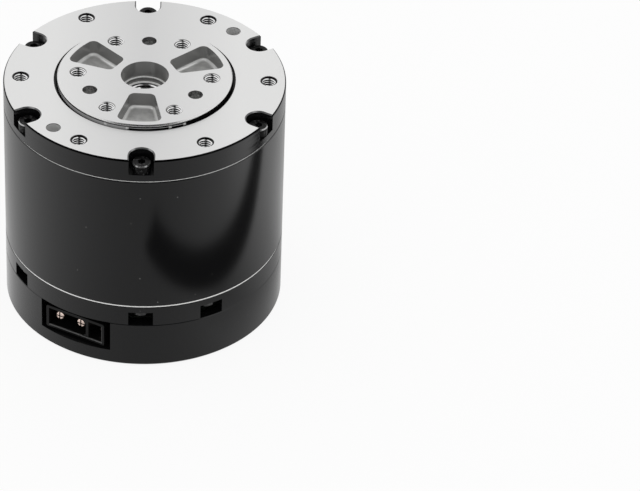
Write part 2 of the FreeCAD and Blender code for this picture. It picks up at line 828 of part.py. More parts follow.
def make_coils():
    """One closed winding round each tooth."""
    inner_half = tooth_width / 2
    outer_half = inner_half + coil_thickness
    bottom, top = z_stator_bottom, z_stator_bottom + stator_stack
    reach = (coil_inner_reach, coil_outer_reach)
    outside = block(reach, (-outer_half, outer_half), bottom - coil_overhang, top + coil_overhang)
    long_edges = [edge for edge in outside.Edges
                  if abs(edge.Vertexes[0].X - edge.Vertexes[1].X) > 1]
    outside = outside.makeFillet(coil_corner_radius, long_edges)
    window = block((reach[0] - 1, reach[1] + 1), (-inner_half, inner_half), bottom, top)
    return around(outside.cut(window), evenly(slot_count))


def make_leads():
    """The three stiff phase leads from the windings to the board."""
    top = z_stator_bottom - coil_overhang
    return holes(lead_radius, z_rear_housing, top, lead_distance, lead_azimuths)


def make_bell():
    """The rotor cup that carries the magnets."""
    inner = bell_inner_radius
    outer = inner + bell_wall
    web_bottom = z_bell_top - bell_web
    bell_bottom = z_stator_bottom - (magnet_height - stator_stack) / 2 - bell_skirt
    cup = lathe([(rotor_bearing_bore_radius, z_bell_hub_bottom), (bell_hub_radius, z_bell_hub_bottom),
                 (bell_hub_radius, web_bottom), (inner, web_bottom), (inner, bell_bottom),
                 (outer, bell_bottom), (outer, z_bell_top - bell_edge_chamfer),
                 (outer - bell_edge_chamfer, z_bell_top),
                 (rotor_bearing_bore_radius, z_bell_top)])
    return cup.cut(holes(bell_window_radius, web_bottom - 1, z_bell_top + 1, bell_window_circle / 2,
                         evenly(bell_window_count)))


def make_magnets():
    """Curved magnets inside the bell."""
    inner = stator_radius + air_gap
    bottom = z_stator_bottom - (magnet_height - stator_stack) / 2
    top = bottom + magnet_height
    span = 360.0 / pole_count - magnet_gap_degrees
    full = Part.makeCylinder(inner + magnet_thickness, top - bottom, Vector(0, 0, bottom), UP, span)
    magnet = full.cut(cylinder(inner, bottom - 1, top + 1))
    return around(magnet, evenly(pole_count))


def make_shaft():
    """The motor shaft, stepped down above the bell for the first sun gear."""
    return lathe([(0, z_shaft_bottom), (rotor_bearing_bore_radius, z_shaft_bottom),
                  (rotor_bearing_bore_radius, z_bell_top), (shaft_step_radius, z_bell_top),
                  (shaft_step_radius, z_planet1_top), (0, z_planet1_top)])


def make_carrier1():
    """The first carrier plate with the stub that holds the second sun gear."""
    return lathe([(0, z_plate1_bottom), (carrier_radius, z_plate1_bottom), (carrier_radius, z_plate1_top),
                  (shaft_step_radius, z_plate1_top), (shaft_step_radius, z_planet2_top),
                  (0, z_planet2_top)])


def planet_pins(bottom, top, first):
    """The three pins that the planets run on."""
    return holes(planet_pin_radius, bottom, top, planet_circle_radius, evenly(planet_count, first))


def main():
    os.makedirs("parts", exist_ok=True)

    save("rear_cover", make_rear_cover())
    save("rear_housing", make_rear_housing())
    save("motor_housing", make_motor_housing())
    save("front_housing", make_front_housing())
    save("housing_thread_inserts",
         *thread_sleeves(housing_thread_circle, evenly(housing_thread_count), z_front_face))

    front_seat = z_front_face - notch_depth
    save("front_screws", *set_out(socket_screw(front_seat, front_screw_length), front_screw_circle,
                                  evenly(front_screw_count, front_screw_first_azimuth)))
    rear_screw = pointing_up(socket_screw(z_rear_screw_seat, rear_screw_length), z_rear_screw_seat)
    save("rear_screws", *set_out(rear_screw, rear_screw_circle, rear_screw_azimuths))
    cover_length = z_rear_housing + cover_screw_engagement - cover_head_recess
    cover_screw = socket_screw(cover_head_recess, cover_length, cover_screw_head_height)
    save("cover_screws", *set_out(pointing_up(cover_screw, cover_head_recess), cover_screw_circle,
                                  cover_screw_azimuths))

    save("socket_shell", make_socket_shell())
    save("socket_power_pins", *[in_socket_frame(pin) for _, pin in power_pin_shapes()])
    save("socket_signal_pins", *[in_socket_frame(pin) for _, pin in signal_pin_shapes()])
    save("driver_board", make_board())
    save("encoder_chip", chip(encoder_chip_size, encoder_chip_height, True, 0, 0))
    save("processor_chip", chip(processor_size, processor_height, True, processor_offset, 100.0))
    save("power_transistors", *[chip(transistor_width, transistor_height, False, transistor_distance,
                                     azimuth, transistor_length) for azimuth in transistor_azimuths])
    save("bus_capacitors", *around(capacitor(), capacitor_azimuths))

    save("stator_core", make_stator_core())
    save("stator_windings", *make_coils())
    save("phase_leads", *make_leads())

    z_low = z_motor_housing + boss_floor
    z_high = z_boss_top - rotor_bearing_width
    pitch_radius = (rotor_bearing_bore_radius + rotor_bearing_outer_radius) / 2
    outer_lip = pitch_radius + rotor_race_gap_half
    inner_lip = pitch_radius - rotor_race_gap_half
    groove = rotor_bearing_ball_radius + ball_clearance
    outer_races, inner_races, rotor_balls = [], [], []
    for bottom in (z_low, z_high):
        top = bottom + rotor_bearing_width
        middle = (bottom + top) / 2
        outer_races.append(race(rotor_bearing_outer_radius, outer_lip, pitch_radius, groove, bottom, top))
        inner_races.append(race(inner_lip, rotor_bearing_bore_radius, pitch_radius, groove, bottom, top))
        rotor_balls += balls(rotor_bearing_ball_count, pitch_radius, rotor_bearing_ball_radius, middle)
    save("rotor_bearing_outer_races", *outer_races)
    save("rotor_bearing_inner_races", *inner_races)
    save("rotor_bearing_balls", *rotor_balls)
    save("rotor_bearing_spacer", tube(rotor_bearing_outer_radius, outer_lip, z_low + rotor_bearing_width,
                                      z_high))

    save("rotor_bell", make_bell())
    save("rotor_magnets", *make_magnets())
    save("rotor_shaft", make_shaft())
    save("encoder_magnet", cylinder(encoder_magnet_radius, z_encoder_magnet, z_shaft_bottom))

    save("grease_shield", tube(gearbox_bore_radius, shield_hole_radius, z_shield_bottom, z_shield_top))
    save("ring_gear", ring_gear(z_shield_top, z_spigot_bottom))
    save("sun_gear_1", gear(sun_teeth, z_planet1_bottom, z_planet1_top, sun_phase(stage1_first_azimuth),
                            shaft_step_radius))
    for i, azimuth in enumerate(evenly(planet_count, stage1_first_azimuth), 1):
        save(f"planet_gear_1_{i}", planet(z_planet1_bottom, z_planet1_top, azimuth))
    carrier1_pins = planet_pins(z_planet1_bottom - plate_gap, z_plate1_top, stage1_first_azimuth)
    save("stage1_carrier", make_carrier1().cut(carrier1_pins))
    save("stage1_pins", *carrier1_pins)

    stage2_azimuth = stage2_first_azimuth + output_rest_angle
    save("sun_gear_2", gear(sun_teeth, z_plate1_top, z_planet2_top, sun_phase(stage2_azimuth),
                            shaft_step_radius))
    for i, azimuth in enumerate(evenly(planet_count, stage2_azimuth), 1):
        save(f"planet_gear_2_{i}", planet(z_planet2_bottom, z_planet2_top, azimuth))
    carrier2_pins = planet_pins(z_plate2_bottom, z_flange_hub_bottom + pin_grip, stage2_azimuth)
    plate2 = tube(carrier_radius, sun_tip_radius + sun_hole_clearance, z_plate2_bottom, z_plate2_top)
    save("stage2_carrier_plate", plate2.cut(carrier2_pins))
    save("stage2_pins", *carrier2_pins)

    flange, centre_sleeve = make_output_flange()
    save("output_flange", flange)
    save("centre_thread", centre_sleeve)
    sleeves = thread_sleeves(output_thread_circle, evenly(output_thread_count, output_rest_angle),
                             z_flange_face)
    save("flange_thread_inserts", *sleeves)

    z_ball = (z_bearing_bottom + z_bearing_top) / 2
    pitch = output_bearing_pitch_radius
    output_groove = output_ball_radius + ball_clearance
    save("output_bearing_outer_race", race(output_bearing_outer_radius, pitch + output_race_gap_half,
                                           pitch, output_groove, z_bearing_bottom, z_bearing_top))
    save("output_bearing_inner_race", race(pitch - output_race_gap_half, flange_hub_radius, pitch,
                                           output_groove, z_bearing_bottom, z_bearing_top))
    save("output_bearing_balls", *balls(output_ball_count, pitch, output_ball_radius, z_ball))
    save("output_bearing_cage", cage(output_ball_count, pitch, output_ball_radius, z_ball,
                                     cage_half_thickness, cage_half_height))
    save("bearing_preload_ring", tube(output_bearing_outer_radius,
                                      output_bearing_outer_radius - preload_ring_width,
                                      z_spigot_bottom, z_bearing_bottom))

    seal_top = z_front_face - seal_depth
    save("output_seal", tube(front_bore_radius, flange_radius + seal_clearance, seal_top - seal_height,
                             seal_top))
    ring_top = z_front_face - retaining_ring_depth
    ring = tube(retaining_ring_outer_radius, retaining_ring_inner_radius,
                ring_top - retaining_ring_height, ring_top)
    gap_span = retaining_ring_gap_end - retaining_ring_gap_start
    gap = Part.makeCylinder(body_radius, front_housing_height, Vector(0, 0, ring_top - 2), UP, gap_span)
    save("retaining_ring", ring.cut(turned(gap, retaining_ring_gap_start)))


main()
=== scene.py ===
"""The looks of a geared joint actuator: black housing, pale end ring, turning flange and power socket."""

import math
from collections import namedtuple

import bmesh
import bpy
from mathutils import Matrix, Vector


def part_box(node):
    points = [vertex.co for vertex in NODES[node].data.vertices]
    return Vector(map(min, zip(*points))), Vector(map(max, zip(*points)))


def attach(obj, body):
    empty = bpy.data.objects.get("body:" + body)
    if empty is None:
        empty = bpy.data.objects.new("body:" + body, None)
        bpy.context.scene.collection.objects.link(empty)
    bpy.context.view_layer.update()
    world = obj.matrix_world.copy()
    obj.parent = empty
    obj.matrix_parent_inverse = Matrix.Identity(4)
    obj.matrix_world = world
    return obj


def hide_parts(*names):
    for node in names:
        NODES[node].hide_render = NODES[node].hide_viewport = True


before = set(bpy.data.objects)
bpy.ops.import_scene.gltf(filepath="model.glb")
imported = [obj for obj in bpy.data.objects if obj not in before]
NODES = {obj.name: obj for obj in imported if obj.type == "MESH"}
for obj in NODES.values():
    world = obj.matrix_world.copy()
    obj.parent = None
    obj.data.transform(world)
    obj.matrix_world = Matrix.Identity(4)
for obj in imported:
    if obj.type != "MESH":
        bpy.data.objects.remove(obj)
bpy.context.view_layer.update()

MM = 0.001
FULL_TURN = 2 * math.pi


def size_of(node):
    """A node's lowest and highest corners at rest, in millimetres."""
    low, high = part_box(node)
    return Vector(low) / MM, Vector(high) / MM


def grey(level):
    return (level, level, level)


def toned(colour, share):
    """A colour with each channel times a share."""
    return tuple(share * channel for channel in colour)


# Heights and radii in millimetres, read from the frame where it gives them
SEAM_BELOW, SEAM_ABOVE = (corner.z for corner in size_of("motor_housing"))
BODY_RADIUS = size_of("motor_housing")[1].x
FRONT_FACE = size_of("front_housing")[1].z
FLANGE_FACE = size_of("output_flange")[1].z
FLANGE_REST_ANGLE = math.radians(-2.8)

# Half widths of the uncoated edges at the two seams, painted white as highlights
BROAD_SEAM, NARROW_SEAM = 0.12, 0.05
SEAM_BLEND = 0.02

# Depth at which a face ends, then the end ring's edge, spigot, countersinks and gap; the countersinks and gap
# are painted black as shade
FACE_DEPTH = 0.02
EDGE_CHAMFER = 0.27
EDGE_LINE, EDGE_LINE_BLEND = 0.38, 0.05
SPIGOT_DEPTH = 0.01
COUNTERSINK = 0.16
THREADS_INSIDE, THREADS_OUTSIDE = 23.0, 27.0
GAP_OUTSIDE = 18.9

# Notches of the front screws, and the painted glints on their chamfers
NOTCH_COUNT = 6
NOTCH_AZIMUTH = math.radians(30.0)
NOTCH_HALF_WIDTH = 2.78
NOTCH_INNER_REACH = 23.6
NOTCH_CHAMFER = 0.26
GLINT_ACROSS, GLINT_HALF_WIDTH, GLINT_BLEND = 1.75, 0.3, 0.5
GLINT_LEAST = 0.25

# Front screws: the rims of their heads, painted bright metal so that they catch glints
SCREW_CIRCLE = 26.5
SCREW_HEAD_TOP = size_of("front_screws")[1].z
SCREW_RIM_DEPTH, SCREW_RIM_DEPTH_BLEND = 0.25, 0.05
SCREW_RIM_RADIUS, SCREW_RIM_HALF_WIDTH, SCREW_RIM_BLEND = 1.84, 0.12, 0.08

# Flange: its edge, pockets and stepped bore
FLANGE_EDGE = 17.0
FLANGE_CHAMFER = 0.4
POCKET_COUNT = 3
POCKET_AZIMUTH = math.radians(30.0) + FLANGE_REST_ANGLE
POCKET_HALF_ANGLE = math.radians(35.0)
POCKET_FLOOR = FLANGE_FACE - 3.5
POCKET_FILLET, POCKET_BLEND = 0.6, 0.2
FILLET_LINE, FILLET_HALF_HEIGHT, FILLET_BLEND = 0.3, 0.22, 0.15
BORE_RADIUS = 5.0
BORE_FLOORS = (FLANGE_FACE - 3.65, FLANGE_FACE - 4.65)
LEDGE_HALF_HEIGHT, LEDGE_BLEND = 0.05, 0.02

# Retaining ring as it shows in the gap, painted as light on the flange's side: azimuths of its ends, and
# heights from the end ring's face
RING_START, RING_STOP = math.radians(-178.0), math.radians(-62.0)
RING_START_BLEND, RING_STOP_BLEND = 0.3, 0.02
RING_ENDS = tuple(math.radians(angle) for angle in (-115.0, -100.0, -72.0, -62.0))
BAND_STOP = RING_ENDS[1]
BAND_HEIGHT, BAND_HALF_HEIGHT, BAND_BLEND = -0.10, 0.36, 0.1
LINE_HEIGHT, LINE_HALF_HEIGHT, LINE_BLEND = 0.12, 0.06, 0.05
BURR_HALF_ANGLE, BURR_ANGLE_BLEND = 0.016, 0.012
BURR_HALF_HEIGHT, BURR_HEIGHT_BLEND = 0.26, 0.16
BURR_GLINT_SHARE = 0.7

# Socket: the edges of its mouth where a highlight is painted, across the socket and in height
SOCKET_AZIMUTH = math.radians(241.0)
SOCKET_WALL = 0.6
SOCKET_FACE = BODY_RADIUS - 1.2
SOCKET_LEFT, SOCKET_RIGHT = -7.0 + SOCKET_WALL, 6.65 - SOCKET_WALL
SOCKET_LOW = size_of("socket_shell")[0].z + SOCKET_WALL
SOCKET_HIGH = size_of("socket_shell")[1].z - SOCKET_WALL
MOUTH_DEPTH, MOUTH_BLEND = 0.25, 0.05
HIGHLIGHT_DROP, HIGHLIGHT_HALF_WIDTH, HIGHLIGHT_BLEND = 0.05, 0.09, 0.08
HIGHLIGHT_END, HIGHLIGHT_END_BLEND = 0.1, 0.1
HIGHLIGHT_RIGHT_SHARE = 0.6

# Threads: radii, pitch, and columns of points round one sleeve
Thread = namedtuple("Thread", "outside crest root pitch columns")
M3_THREAD = Thread(outside=1.6, crest=1.25, root=1.53, pitch=0.5, columns=40)
CENTRE_OUTSIDE = size_of("centre_thread")[1].x
CENTRE_THREAD = Thread(CENTRE_OUTSIDE, crest=3.6, root=CENTRE_OUTSIDE - 0.04, pitch=0.75, columns=96)
THREAD_COUNT = 6
RING_THREAD_CIRCLE = size_of("housing_thread_inserts")[1].x - M3_THREAD.outside
FLANGE_THREAD_CIRCLE = 13.5
THREAD_FLAT = 0.125
THREAD_STEPS = 8
THREAD_ROOT_STEPS = (3, 4)
LEAD_IN_HEIGHT = 0.2
LEAD_IN_WALL = 0.01
DARK_MOUTH_BLEND = 0.05

# Distances in metres within which a thread's points are merged and its thin faces dissolved
MERGE_DISTANCE = 1e-7
DISSOLVE_DISTANCE = 1e-8

# Photograph's camera
CAMERA_PLACE = Vector((16.107, -724.27, 551.02)) * MM
CAMERA_YAW = math.radians(1.610)
CAMERA_TILT = math.radians(36.747)
CAMERA_ROLL = math.radians(2.0)
CAMERA_NEAREST, CAMERA_FURTHEST = 0.05, 20.0
FOCAL_PIXELS = 4360.848
IMAGE_WIDTH = 640
SENSOR_WIDTH = 36.0

# Floor, in metres, and how white it is
FLOOR_REACH = 3.0
FLOOR_DROP = 0.00002
FLOOR_WHITE = 0.86
FLOOR_SHOWN_WHITE = 0.90
FLOOR_ROUGHNESS = 0.9

# What polished surfaces see of the floor, with places in millimetres
FRONT_FLOOR_GLOW = 0.43
SIDE_FLOOR_GLOW = 0.42
AXIS_SOFTENING = 1.0
RIGHT_SHADE, RIGHT_SHADE_START, RIGHT_SHADE_BLEND = 0.40, 28.0, 14.0
RIGHT_LIGHT, RIGHT_LIGHT_START, RIGHT_LIGHT_BLEND = 0.62, 60.0, 48.0
RIGHT_SHADE_FRONT, RIGHT_FRONT_BLEND = -42.0, 20.0
RIGHT_SHADE_BACK, RIGHT_BACK_BLEND = 18.0, 24.0
# A dark patch painted on the floor, seen only in reflections: its place, blends and glow
DARK_PATCH_NEAR, DARK_PATCH_FAR = 49.5, 65.0
DARK_PATCH_START, DARK_PATCH_END = -48.0, 110.0
DARK_PATCH_BLEND, DARK_PATCH_END_BLEND = 3.0, 9.0
DARK_PATCH_GLOW = 0.03

# Sky, by direction: an even glow, and for polished surfaces a dark gap overhead, wider in front
SKY_EVEN = 0.95
SKY_BRIGHT = 0.95
SKY_GAP = 0.03
GAP_HALF_WIDTH, GAP_FRONT_HALF_WIDTH, GAP_SIDE_BLEND = 0.16, 0.75, 0.12
GAP_FRONT, GAP_FRONT_BLEND = -0.35, 0.3
GAP_BACK, GAP_BACK_BLEND = 0.15, 0.35
GAP_LOWEST, GAP_LOWEST_BLEND = 0.68, 0.1

# Colours
BLACK = (0.0035, 0.0035, 0.0038)
DUST = (0.30, 0.30, 0.29)
# The next colour is the white of painted highlights: on the seams, the bore ledges and the ring's burrs
HIGHLIGHT_WHITE = (0.95, 0.95, 0.94)
PALE = (0.78, 0.78, 0.775)
PALE_MIDDLE_SHADE = grey(0.64)
PALE_SHADE = (0.25, 0.25, 0.245)
POCKET_FLOOR_SHADE_LIGHT = (0.56, 0.56, 0.55)
POCKET_FLOOR_SHADE_DARK = (0.44, 0.44, 0.43)
FILLET_HIGHLIGHT = (0.92, 0.92, 0.91)
RING_LIGHT_GREY = grey(0.45)
NOTCH_GLINT = grey(0.30)
OXIDE, OXIDE_WORN = grey(0.003), grey(0.035)
SCREW_RIM_GLINT = grey(0.45)
STEEL_DARKER, THREAD_DARKER, PLASTIC_LIGHTER = 0.8, 0.85, 1.25
SOCKET_BLACK, SOCKET_HIGHLIGHT = grey(0.003), grey(0.12)
CHIP_BLACK = (0.02, 0.02, 0.022)
NYLON = (0.55, 0.50, 0.36)
RUBBER = grey(0.014)
THREAD_BRIGHT, THREAD_ROOT_SHADE = grey(0.90), grey(0.05)
CAN = (0.75, 0.76, 0.78)
GROUND_STEEL = (0.78, 0.79, 0.80)
TURNED_STEEL = (0.52, 0.53, 0.55)
SPRING_STEEL_SHADED = grey(0.03)
GEAR_STEEL = (0.46, 0.47, 0.49)
NICKEL = (0.68, 0.66, 0.62)
SHEET_STEEL, SHEET_LINE = (0.34, 0.35, 0.37), (0.10, 0.10, 0.11)
COPPER_CROWN, COPPER_GROOVE_SHADE = (0.70, 0.30, 0.11), (0.22, 0.07, 0.02)
GOLD, GOLD_LIGHT = (0.94, 0.70, 0.60), (1.0, 0.86, 0.78)
MASK, MASK_TRACK = (0.005, 0.006, 0.005), (0.016, 0.020, 0.015)

# Plain colours that stand for patterned finishes where their patterns aren't drawn
OXIDE_PLAIN = grey(0.006)
SHEET_PLAIN = (0.30, 0.31, 0.33)
COPPER_PLAIN = (0.62, 0.24, 0.08)
GOLD_PLAIN = (0.95, 0.72, 0.62)
MASK_PLAIN = (0.006, 0.007, 0.006)

# How much each finish's clouds, marks, grain or lines add to its least roughness
ANODISED_ROUGHNESS, ANODISED_CLOUD, ANODISED_GRAIN = 0.10, 0.05, 0.03
FACED_ROUGHNESS, FACED_MARKS, FACED_GRAIN = 0.30, 0.05, 0.04
OXIDE_ROUGHNESS, OXIDE_GRAIN = 0.18, 0.10
SHEET_ROUGHNESS, SHEET_LINES = 0.38, 0.2
COPPER_ROUGHNESS, COPPER_SMOOTHER = 0.40, 0.12
MASK_ROUGHNESS, MASK_TRACKS = 0.32, 0.08
GOLD_ROUGHNESS, GOLD_GRAIN = 0.08, 0.08
THREAD_ROUGHNESS, THREAD_GRAIN = 0.06, 0.04
MOULDED_GRAIN = 0.1
BARE_EDGE_ROUGHER = 0.25
BORED_SMOOTHER = 0.16
BLACK_SIDE_ROUGHNESS = 0.14

# Shares of metal in the shader where a surface isn't bare
SEAM_METAL = 0.2
HOLE_METAL_LOSS = 0.5
POCKET_FLOOR_METAL_LOSS = 0.7
SHADED_WALL_METAL_LOSS = 0.6

# Textures: cells to the millimetre, pitches and widths in millimetres, and shares
MARK_CELLS, MARKS_ACROSS, MARKS_ALONG = 3.2, 2.2, 0.5
MARKS_SHARE, GRAIN_SHARE = 0.8, 0.2
# Half width and blend of the painted darker streak along the middle of the pale faces
DIM_HALF_WIDTH, DIM_BLEND = 8.0, 22.0
MOTTLE_MIDDLE, MOTTLE_BLEND = 0.5, 0.35
SPECK_CELLS, SPECK_SIZE, SPECK_BLEND, SPECK_CHOICE = 0.55, 0.05, 0.03, 0.86
WORN_MIDDLE, WORN_SPREAD = 0.62, 0.08
SHEET_PITCH, SHEET_LINE_SHARE, SHEET_LINE_BLEND = 0.35, 0.16, 0.08
WIRE_PITCH = 0.5
TRACK_CELLS, TRACK_PLACE, TRACK_HALF_WIDTH, TRACK_BLEND = 0.55, 0.10, 0.035, 0.02


class Wire:
    """A number carried between shader nodes. Arithmetic on it adds Math nodes."""

    def __init__(self, tree, socket):
        self.tree = tree
        self.socket = socket

    def math(self, operation, *others):
        return self.tree.math(operation, self, *others)

    def __add__(self, other):
        return self.math("ADD", other)

    def __radd__(self, other):
        return self.tree.math("ADD", other, self)

    def __sub__(self, other):
        return self.math("SUBTRACT", other)

    def __rsub__(self, other):
        return self.tree.math("SUBTRACT", other, self)

    def __mul__(self, other):
        return self.math("MULTIPLY", other)

    def __rmul__(self, other):
        return self.tree.math("MULTIPLY", other, self)

    def __truediv__(self, other):
        return self.math("DIVIDE", other)

    def __rtruediv__(self, other):
        return self.tree.math("DIVIDE", other, self)

    def __abs__(self):
        return self.math("ABSOLUTE")

    def above(self, edge, blend=0.01):
        """0 below an edge and 1 above it, with a step between that is blend wide."""
        return self.tree.math("ADD", (self - edge) / blend, 0.5, clamp=True)

    def below(self, edge, blend=0.01):
        """1 below an edge and 0 above it."""
        return self.tree.math("SUBTRACT", 0.5, (self - edge) / blend, clamp=True)

    def near(self, centre, half_width, blend=0.01):
        """1 within a half width of a centre."""
        return abs(self - centre).below(half_width, blend)


class Tree:
    """A node tree, with one method that adds any node."""

    def __init__(self, owner):
        owner.use_nodes = True
        self.nodes = owner.node_tree.nodes
        self.links = owner.node_tree.links

    def node(self, kind, settings=None, *values, **named):
        """Add a node: its settings first, then its sockets by order or by name (_ for a space)."""
        made = self.nodes.new(kind)
        for key, value in (settings or {}).items():
            setattr(made, key, value)
        for index, value in enumerate(values):
            self.feed(made.inputs[index], value)
        for key, value in named.items():
            name = key.replace("_", " ")
            self.feed(next(socket for socket in made.inputs if socket.enabled and socket.name == name), value)
        return {socket.name: Wire(self, socket) for socket in made.outputs if socket.enabled}

    def feed(self, socket, value):
        if isinstance(value, Wire):
            self.links.new(value.socket, socket)
        elif socket.type == "RGBA":
            socket.default_value = (*value[:3], 1.0)
        else:
            socket.default_value = value

    def math(self, operation, *values, clamp=False):
        return self.node("ShaderNodeMath", {"operation": operation, "use_clamp": clamp}, *values)["Value"]

    def mix(self, factor, first, second):
        """A colour that goes from first to second as factor goes from 0 to 1."""
        return self.node("ShaderNodeMix", {"data_type": "RGBA"}, Factor=factor, A=first, B=second)["Result"]


class Finish(Tree):
    """A surface finish on one Principled shader, with the place on the surface in millimetres."""

    def __init__(self, name, colour, **constants):
        self.material = bpy.data.materials.new(name)
        super().__init__(self.material)
        self.material.diffuse_color = (*colour, 1.0)
        self.shader = self.nodes["Principled BSDF"]
        self.vary(Base_Color=colour, **constants)
        place = self.node("ShaderNodeTexCoord")["Object"]
        self.place = self.node("ShaderNodeVectorMath", {"operation": "SCALE"}, place, Scale=1 / MM)["Vector"]
        split = self.node("ShaderNodeSeparateXYZ", None, self.place)
        self.x, self.y, self.z = split["X"], split["Y"], split["Z"]

    def vary(self, **values):
        """Set or link the shader's sockets."""
        for key, value in values.items():
            self.feed(self.shader.inputs[key.replace("_", " ")], value)

    def radius(self):
        return (self.x * self.x + self.y * self.y).math("SQRT")

    def turn(self):
        return self.y.math("ARCTAN2", self.x)

    def noise(self, cells, detail=2.0, where=None):
        """Smooth noise about 0.5, with this many cells to the millimetre."""
        return self.node("ShaderNodeTexNoise", None, Vector=where or self.place, Scale=cells,
                         Detail=detail)["Fac"]

    def bump(self, height, distance):
        normal = self.node("ShaderNodeBump", None, Distance=distance * MM, Height=height)["Normal"]
        self.vary(Normal=normal)


def black_anodised(name, seams=()):
    """Glossy black with a little dust, and a painted highlight on the uncoated edges at the seams given as
    (height, half width).
    """
    finish = Finish(name, BLACK)
    cloud = finish.noise(cells=0.08)
    grain = finish.noise(cells=9.0, detail=1.0)
    roughness = ANODISED_ROUGHNESS + ANODISED_CLOUD * cloud + ANODISED_GRAIN * grain
    cell = finish.node("ShaderNodeTexVoronoi", None, Vector=finish.place, Scale=SPECK_CELLS)
    chosen = finish.node("ShaderNodeSeparateColor", None, cell["Color"])["Red"].above(SPECK_CHOICE)
    specks = cell["Distance"].below(SPECK_SIZE, SPECK_BLEND) * chosen
    colour = finish.mix(specks, BLACK, DUST)
    if seams:
        # Painted highlight: the seam bands are painted white and a little metallic, as light on their
        # chamfers
        bare_seam_highlight = sum(finish.z.near(height, half_width, SEAM_BLEND) for height, half_width in seams)
        colour = finish.mix(bare_seam_highlight, colour, HIGHLIGHT_WHITE)
        roughness = roughness + BARE_EDGE_ROUGHER * bare_seam_highlight
        finish.vary(Metallic=SEAM_METAL * bare_seam_highlight)
    finish.vary(Base_Color=colour, Roughness=roughness)
    finish.bump(grain, distance=0.001)
    return finish.material


def machined(finish, depth):
    """Give a finish fine concentric tool marks, and return its roughness."""
    turned = finish.node("ShaderNodeCombineXYZ", None, finish.radius() * MARKS_ACROSS,
                         finish.turn() * MARKS_ALONG, finish.z * MARKS_ALONG)["Vector"]
    marks = finish.noise(MARK_CELLS, where=turned)
    grain = finish.noise(cells=7.0, detail=1.0)
    finish.bump(marks * MARKS_SHARE + grain * GRAIN_SHARE, depth)
    return FACED_ROUGHNESS + FACED_MARKS * marks + FACED_GRAIN * grain


def pale_face(finish):
    """The pale colour with painted shade along the middle: a darker streak that stands in for how the turned
    face reflects the light.
    """
    return finish.mix(abs(finish.x).below(DIM_HALF_WIDTH, DIM_BLEND), PALE, PALE_MIDDLE_SHADE)


def sector(finish, count, azimuth):
    """The angle from the nearest of several evenly spaced azimuths."""
    share = (finish.turn() - azimuth) * (count / FULL_TURN) + (count + 0.5)
    return abs(share.math("FRACT") - 0.5) * (FULL_TURN / count)


def ring_light_in_gap(finish, in_gap, colour):
    """The colour of the gap, with painted light where the retaining ring shows: its lit band and line in
    grey, and glints at its burrs.
    """
    turn = finish.turn()
    shown = in_gap * turn.above(RING_START, RING_START_BLEND) * turn.below(RING_STOP, RING_STOP_BLEND)
    band = (turn.below(BAND_STOP, RING_STOP_BLEND)
            * finish.z.near(FRONT_FACE + BAND_HEIGHT, BAND_HALF_HEIGHT, BAND_BLEND))
    line = finish.z.near(FRONT_FACE + LINE_HEIGHT, LINE_HALF_HEIGHT, LINE_BLEND)
    # Painted light: the lit retaining ring as a grey band and line on the flange's side
    colour = finish.mix(shown * band.math("MAXIMUM", line), colour, RING_LIGHT_GREY)
    # Painted glints at the ends of the retaining ring
    burr_glint = sum(turn.near(end, BURR_HALF_ANGLE, BURR_ANGLE_BLEND) for end in RING_ENDS)
    burr_height = finish.z.near(FRONT_FACE, BURR_HALF_HEIGHT, BURR_HEIGHT_BLEND)
    return finish.mix(BURR_GLINT_SHARE * in_gap * burr_glint * burr_height, colour, HIGHLIGHT_WHITE)


def flange_aluminium():
    """The flange: fine machined, clear anodised aluminium, with painted shade in its pockets, bores and gap,
    and painted highlights on its pocket fillets and bore ledges.
    """
    finish = Finish("pale_machined_aluminium", PALE, Metallic=1.0)
    roughness = machined(finish, depth=0.04)
    height = finish.z
    lowered = height.below(FLANGE_FACE - FACE_DEPTH)
    inside = finish.radius().below(BORE_RADIUS)
    around = finish.radius().above(BORE_RADIUS)
    at_edge = finish.radius().above(FLANGE_EDGE)
    in_gap = at_edge * height.below(FLANGE_FACE - FLANGE_CHAMFER)

    in_sector = sector(finish, POCKET_COUNT, POCKET_AZIMUTH).below(POCKET_HALF_ANGLE)
    pocket_wall = height.above(POCKET_FLOOR + POCKET_FILLET, POCKET_BLEND) * around * in_sector
    pocket_floor = around * height.near(POCKET_FLOOR, POCKET_FILLET, POCKET_BLEND)
    # Painted highlight: a bright band just above each pocket floor, along its fillet
    fillet_highlight = around * height.near(POCKET_FLOOR + FILLET_LINE, FILLET_HALF_HEIGHT, FILLET_BLEND)
    # Painted highlight: the bore's ledges are painted white and not metallic
    ledge_highlight = inside * sum(height.near(floor, LEDGE_HALF_HEIGHT, LEDGE_BLEND) for floor in BORE_FLOORS)
    # Painted shade: the pocket walls and the bore's walls are darkened
    shaded = (pocket_wall + inside * (1 - ledge_highlight)) * lowered * (1 - at_edge)

    mottle = finish.noise(cells=0.7, detail=3.0).above(MOTTLE_MIDDLE, MOTTLE_BLEND)
    colour = finish.mix(shaded, pale_face(finish), PALE_SHADE)
    # Painted shade: the pocket floors are darker than the face, mottled at random
    colour = finish.mix(pocket_floor, colour, finish.mix(mottle, POCKET_FLOOR_SHADE_DARK, POCKET_FLOOR_SHADE_LIGHT))
    # Painted shade: the flange's side in the gap is black, with the lit retaining ring painted over it
    colour = ring_light_in_gap(finish, in_gap, finish.mix(in_gap, colour, BLACK))
    colour = finish.mix(ledge_highlight, finish.mix(fillet_highlight, colour, FILLET_HIGHLIGHT), HIGHLIGHT_WHITE)
    dull = POCKET_FLOOR_METAL_LOSS * pocket_floor + SHADED_WALL_METAL_LOSS * shaded * (1 - pocket_floor)
    finish.vary(Base_Color=colour, Metallic=1 - in_gap - ledge_highlight - dull,
                Roughness=roughness - BORED_SMOOTHER * lowered)
    return finish.material


